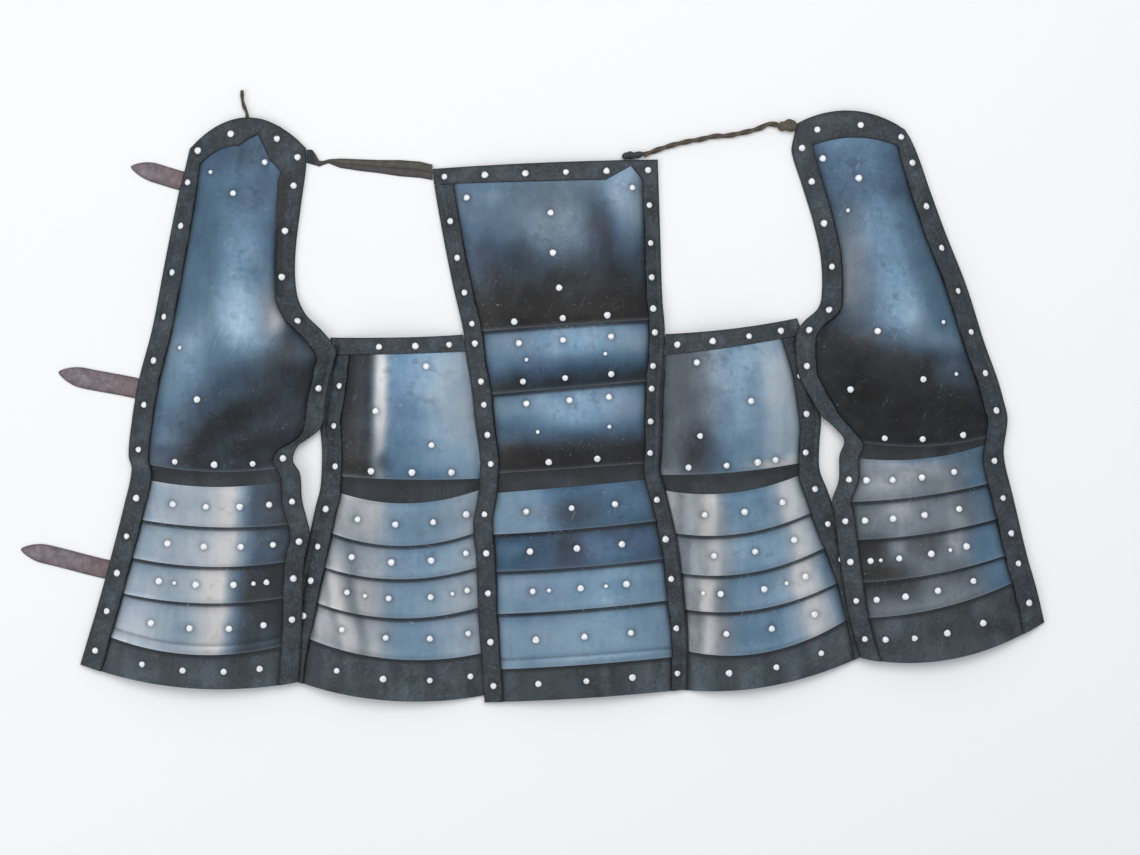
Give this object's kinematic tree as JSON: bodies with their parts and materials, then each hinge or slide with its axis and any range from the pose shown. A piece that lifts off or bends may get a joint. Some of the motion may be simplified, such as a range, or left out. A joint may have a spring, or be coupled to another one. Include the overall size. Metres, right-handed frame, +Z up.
{
  "type": "lamellar armour",
  "caption": "Body armour of overlapping steel lames riveted to black leather, opened out and laid flat, with a lamed skirt, strap ends and shoulder ties.",
  "frame": {"origin": "on the surface it lies on, under the middle of the opened armour's box without its two thongs and their knots", "axes": "+X along the opened armour, from the left back half to the right back half; +Y towards the shoulders; +Z up, out of the armour's outside"},
  "size_m": [1.3312, 0.795, 0.044],
  "materials": {
    "steel": "blued, worn and smoothly polished, with brown-black patches",
    "leather": "black, scuffed, half matt",
    "strap": "grey-brown, matt",
    "thong": "olive-brown, matt"
  },
  "bodies": {
    "root": {"back_l_plate": "steel", "back_l_lame_1": "steel", "back_l_lame_2": "steel", "back_l_lame_3": "steel", "back_l_lame_4": "steel", "back_r_plate": "steel", "back_r_lame_1": "steel", "back_r_lame_2": "steel", "back_r_lame_3": "steel", "back_r_lame_4": "steel", "side_l_plate": "steel", "side_l_lame_1": "steel", "side_l_lame_2": "steel", "side_l_lame_3": "steel", "side_l_lame_4": "steel", "side_r_plate": "steel", "side_r_lame_1": "steel", "side_r_lame_2": "steel", "side_r_lame_3": "steel", "side_r_lame_4": "steel", "chest_plate": "steel", "waist_lame_1": "steel", "waist_lame_2": "steel", "front_lame_1": "steel", "front_lame_2": "steel", "front_lame_3": "steel", "front_lame_4": "steel", "back_l_band": "leather", "back_l_hem": "leather", "back_l_border_outer": "leather", "back_l_border_arm": "leather", "back_l_border_skirt": "leather", "back_r_band": "leather", "back_r_hem": "leather", "back_r_border_outer": "leather", "back_r_border_arm": "leather", "back_r_border_skirt": "leather", "side_l_band": "leather", "side_l_hem": "leather", "side_l_border_top": "leather", "side_l_border_outer": "leather", "side_r_band": "leather", "side_r_hem": "leather", "side_r_border_top": "leather", "side_r_border_outer": "leather", "front_band": "leather", "front_hem": "leather", "front_border_top": "leather", "front_border_l": "leather", "front_border_r": "leather", "strap_top": "strap", "strap_middle": "strap", "strap_low": "strap", "shoulder_strap": "strap", "shoulder_thong": "thong", "loose_thong": "thong", "thong_knot_front": "thong", "thong_knot_back": "thong"}
  },
  "joints": []
}
